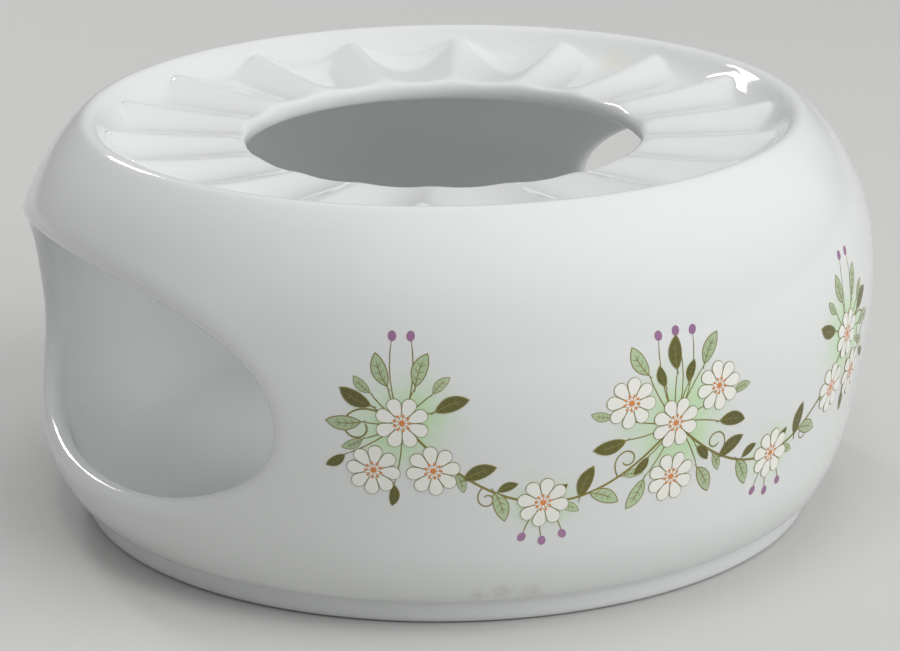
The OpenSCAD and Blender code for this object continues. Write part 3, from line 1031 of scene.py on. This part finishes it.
glaze, asked, given = new_group(
    "glaze_waves",
    [("Colour", "Color", (0.8, 0.8, 0.8, 1)), ("Wave", "Float", 0.03),
     ("Unevenness", "Float", 0.03)],
    [("Colour", "Color"), ("Roughness", "Float"), ("Normal", "Vector")])
place = add_node(glaze, "TexCoord")
waves = add_node(glaze, "TexNoise", Scale=38, Detail=1.5)
clouds = add_node(glaze, "TexNoise", Scale=16, Detail=3)
bump = add_node(glaze, "Bump", Distance=0.001)
tint = add_node(glaze, "MapRange", From_Min=0.3, From_Max=0.7)
darker = add_node(glaze, "Math", {"operation": "SUBTRACT"})
darker.inputs[0].default_value = 1
shade = add_node(glaze, "Mix", {"data_type": "RGBA", "blend_type": "MULTIPLY"}, Factor=1)
gloss = add_node(glaze, "MapRange", To_Min=0.05, To_Max=0.10)
wire(glaze, (
    (place, "Object", waves, "Vector"), (place, "Object", clouds, "Vector"),
    (waves, "Fac", bump, "Height"), (asked, "Wave", bump, "Strength"),
    (clouds, "Fac", tint, "Value"), (asked, "Unevenness", tint, "To Max"),
    (tint, "Result", darker, 1), (asked, "Colour", shade, "A"), (darker, "Value", shade, "B"),
    (clouds, "Fac", gloss, "Value"), (shade, "Result", given, "Colour"),
    (gloss, "Result", given, "Roughness"), (bump, "Normal", given, "Normal")))
print("glaze group with", len(glaze.nodes), "nodes")

# %% [markdown]
# ## Patches in the glaze
# Behind the posies the real print has a soft pale green wash, the glaze has a few marks of use,
# and a white dot is a painted highlight. Each is a patch with a frayed edge round one place, so
# one group serves for all. It also asks how far a point lies from the axis, which keeps the wash
# off the inside of the wall.

# %% The patch group
patch, asked, given = new_group(
    "glaze_patch",
    [("Centre", "Vector", (0, 0, 0)), ("Reach", "Float", 0.01), ("Fray", "Float", 0.004),
     ("Grain", "Float", 120.0), ("Inner wall", "Float", 0.0)],
    [("Mask", "Float")])
place = add_node(patch, "TexCoord")
fray = add_node(patch, "TexNoise")
away = add_node(patch, "VectorMath", {"operation": "DISTANCE"})
ragged = add_node(patch, "Math", {"operation": "MULTIPLY_ADD"})
soft = add_node(patch, "MapRange", {"interpolation_type": "SMOOTHSTEP"},
                From_Min=0, To_Min=1, To_Max=0)
flat = add_node(patch, "VectorMath", {"operation": "MULTIPLY"})
flat.inputs[1].default_value = (1, 1, 0)
span = add_node(patch, "VectorMath", {"operation": "LENGTH"})
outside = add_node(patch, "Math", {"operation": "GREATER_THAN"})
masked = add_node(patch, "Math", {"operation": "MULTIPLY"})
wire(patch, (
    (place, "Object", fray, "Vector"), (asked, "Grain", fray, "Scale"),
    (place, "Object", away, 0), (asked, "Centre", away, 1), (fray, "Fac", ragged, 0),
    (asked, "Fray", ragged, 1), (away, "Value", ragged, 2), (ragged, "Value", soft, "Value"),
    (asked, "Reach", soft, "From Max"), (place, "Object", flat, 0), (flat, "Vector", span, 0),
    (span, "Value", outside, 0), (asked, "Inner wall", outside, 1), (soft, "Result", masked, 0),
    (outside, "Value", masked, 1), (masked, "Value", given, "Mask")))
print("patch group with", len(patch.nodes), "nodes")

# %% [markdown]
# ## The materials
# The glaze group feeds each material's shader what changes over the surface. The fired colours are
# less even than the porcelain, as a thin wash of enamel is.

# %% Porcelain and fired colours
GLAZE_IOR, WAVE = 1.52, 0.04


def glazed(name, colour, unevenness):
    material = bpy.data.materials.new(name)
    material.use_nodes = True
    tree = material.node_tree
    shader = tree.nodes["Principled BSDF"]
    skin = add_node(tree, "Group", {"node_tree": glaze},
                    Colour=(*colour, 1), Wave=WAVE, Unevenness=unevenness)
    wire(tree, ((skin, "Colour", shader, "Base Color"),
                (skin, "Roughness", shader, "Roughness"),
                (skin, "Normal", shader, "Normal")))
    shader.inputs["IOR"].default_value = GLAZE_IOR
    material.diffuse_color = (*colour, 1)
    return material


for piece, name, colour, unevenness in (
        (body, "porcelain", (0.78, 0.80, 0.79), 0.03),
        (fired_lines, "fired_line", (0.30, 0.26, 0.06), 0.35),
        (fired_petals, "fired_petal", (0.93, 0.93, 0.87), 0.06),
        (fired_hearts, "fired_heart", (0.83, 0.30, 0.08), 0.25),
        (fired_dark, "fired_dark_leaf", (0.15, 0.15, 0.03), 0.4),
        (fired_pale, "fired_pale_leaf", (0.54, 0.68, 0.42), 0.3),
        (fired_berries, "fired_berry", (0.43, 0.22, 0.40), 0.35)):
    piece.data.materials.clear()
    piece.data.materials.append(glazed(name, colour, unevenness))
print("materials:", [material.name for material in bpy.data.materials if material.users])

# %% [markdown]
# ## The wash, the marks and a painted highlight
# The wash lies round each posy and each swag's daisy. The marks are where the real piece has them:
# a greyish scuff over the crease of the foot and a faint yellow stain on the rear rim. Above the
# opening a small white dot is a painted highlight, the glint of a tiny unevenness in the glaze.
# Each patch mixes its own colour over the porcelain, at its own strength.

# %% Paint the patches
WASH, WASH_INNER_WALL = (0.58, 0.77, 0.50), 72.2
# The third colour is a painted highlight: a near-white dot that stands for a glint on the glaze.
SCUFF, STAIN, PAINTED_GLINT = (0.42, 0.40, 0.32), (0.66, 0.58, 0.36), (0.9, 0.9, 0.88)
tree = body.data.materials[0].node_tree
shader = tree.nodes["Principled BSDF"]


def on_wall(along_x, z):
    turn = along_x / BELLY_R - math.pi / 2
    return (wall_radius(z) * math.cos(turn), wall_radius(z) * math.sin(turn), z)


def paint(centre, reach, fray_width, grain, colour, strength, inner_wall=0):
    mask = add_node(tree, "Group", {"node_tree": patch}, Centre=[c * MM for c in centre],
                    Reach=reach * MM, Fray=fray_width * MM, Grain=grain,
                    Inner_wall=inner_wall * MM)
    amount = add_node(tree, "Math", {"operation": "MULTIPLY", "use_clamp": True})
    amount.inputs[1].default_value = strength
    over = add_node(tree, "Mix", {"data_type": "RGBA"}, B=(*colour, 1))
    before = shader.inputs["Base Color"].links[0].from_socket
    tree.links.new(before, over.inputs["A"])
    wire(tree, ((mask, "Mask", amount, 0), (amount, "Value", over, "Factor"),
                (over, "Result", shader, "Base Color")))


for centre, reach in ((left, 15), (middle, 17), (right, 15), (swag(0, 0.5), 11),
                      (swag(1, 0.5), 11)):
    paint(on_wall(*centre), reach, 7, 190, WASH, 1.9, WASH_INNER_WALL)
for centre, reach in (((-29.5, -62.6, 6.6), 4), ((-26.0, -64.7, 7.4), 4.5),
                      ((-21.5, -66.0, 6.8), 4.5)):
    paint(centre, reach, 3.4, 900, SCUFF, 0.55)
paint((50.0, 24.5, 68.3), 7, 4, 260, STAIN, 0.5)
# A painted highlight: a small near-white dot above the opening, standing for a glint on the glaze.
paint((-71.2, -7.9, 62.1), 0.6, 0.2, 900, PAINTED_GLINT, 0.8)
print("patches:", sum(node.type == "GROUP" and node.node_tree == patch for node in tree.nodes))

# %% [markdown]
# ## The floor
# The warmer stands on a plain pale floor of dull paper, which isn't part of the object.

# %% Floor
clear_selection()
bpy.ops.mesh.primitive_plane_add(size=8, location=(0, 0, 0))
floor = bpy.context.object
floor.name = "floor"
paper = bpy.data.materials.new("floor_paper")
paper.use_nodes = True
paper_shader = paper.node_tree.nodes["Principled BSDF"]
paper_shader.inputs["Base Color"].default_value = (0.62, 0.62, 0.61, 1)
paper_shader.inputs["Roughness"].default_value = 0.8
floor.data.materials.append(paper)

# %% [markdown]
# ## Light
# Two soft lamps, to the right in front and above, light the form, but the glaze doesn't mirror
# them. The real highlights come from a window: a small lamp behind draws them on the rim, the
# flutes and the lower lip of the opening. The world fills the shadows, and the camera sees it as a
# pale backdrop.

# %% Lamps and world


def soft_lamp(name, azimuth, elevation, distance, size, power):
    """A square lamp that looks at the warmer from a direction given in degrees."""
    reach = distance * cosine(elevation)
    place = Vector((reach * cosine(azimuth), reach * sine(azimuth), distance * sine(elevation)))
    bpy.ops.object.light_add(type="AREA", location=place)
    lamp = bpy.context.object
    lamp.name, lamp.data.size, lamp.data.energy = name, size, power
    lamp.rotation_euler = (-place).to_track_quat("-Z", "Y").to_euler()
    return lamp


clear_selection()
soft_right = soft_lamp("soft_right", -58, 36, 1.2, 1.0, 8.6)
soft_above = soft_lamp("soft_above", -119, 82, 1.2, 0.6, 3.0)
soft_right.visible_glossy = soft_above.visible_glossy = False
soft_lamp("window_behind", 91, 35, 1.0, 0.15, 1.3)

world = bpy.data.worlds.new("studio")
bpy.context.scene.world = world
world.use_nodes = True
sky = world.node_tree
way = add_node(sky, "TexCoord")
parts = add_node(sky, "SeparateXYZ")
rise = add_node(sky, "MapRange", To_Min=0.25, To_Max=0.5)
ray = add_node(sky, "LightPath")
level = add_node(sky, "Mix", B=0.85)
backdrop = sky.nodes["Background"]
backdrop.inputs["Color"].default_value = (1, 1, 1, 1)
wire(sky, ((way, "Generated", parts, "Vector"), (parts, "Z", rise, "Value"),
           (ray, "Is Camera Ray", level, "Factor"), (rise, "Result", level, "A"),
           (level, "Result", backdrop, "Strength")))
bpy.context.scene.view_settings.view_transform = "Standard"

# %% [markdown]
# ## Camera
# The camera was fitted to the foot ring, the crease over it, the rim and the hole as circles about
# one axis. It looks down a little, from the front left, and is rolled by less than a degree.

# %% Camera
CAMERA_PLACE = (-0.27505, -0.49416, 0.21834)
CAMERA_DOWN, CAMERA_YAW, CAMERA_ROLL = 18.424, -29.179, -0.664

camera_data = bpy.data.cameras.new("camera")
camera_data.lens, camera_data.sensor_width = 132, 36
camera = bpy.data.objects.new("camera", camera_data)
bpy.context.collection.objects.link(camera)
camera.location = CAMERA_PLACE
forward = Vector((-sine(CAMERA_YAW) * cosine(CAMERA_DOWN),
                  cosine(CAMERA_YAW) * cosine(CAMERA_DOWN), -sine(CAMERA_DOWN)))
roll = Quaternion((0, 0, 1), math.radians(CAMERA_ROLL))
camera.rotation_mode = "QUATERNION"
camera.rotation_quaternion = forward.to_track_quat("-Z", "Y") @ roll
bpy.context.scene.camera = camera
print("camera looks along", [round(c, 3) for c in forward])
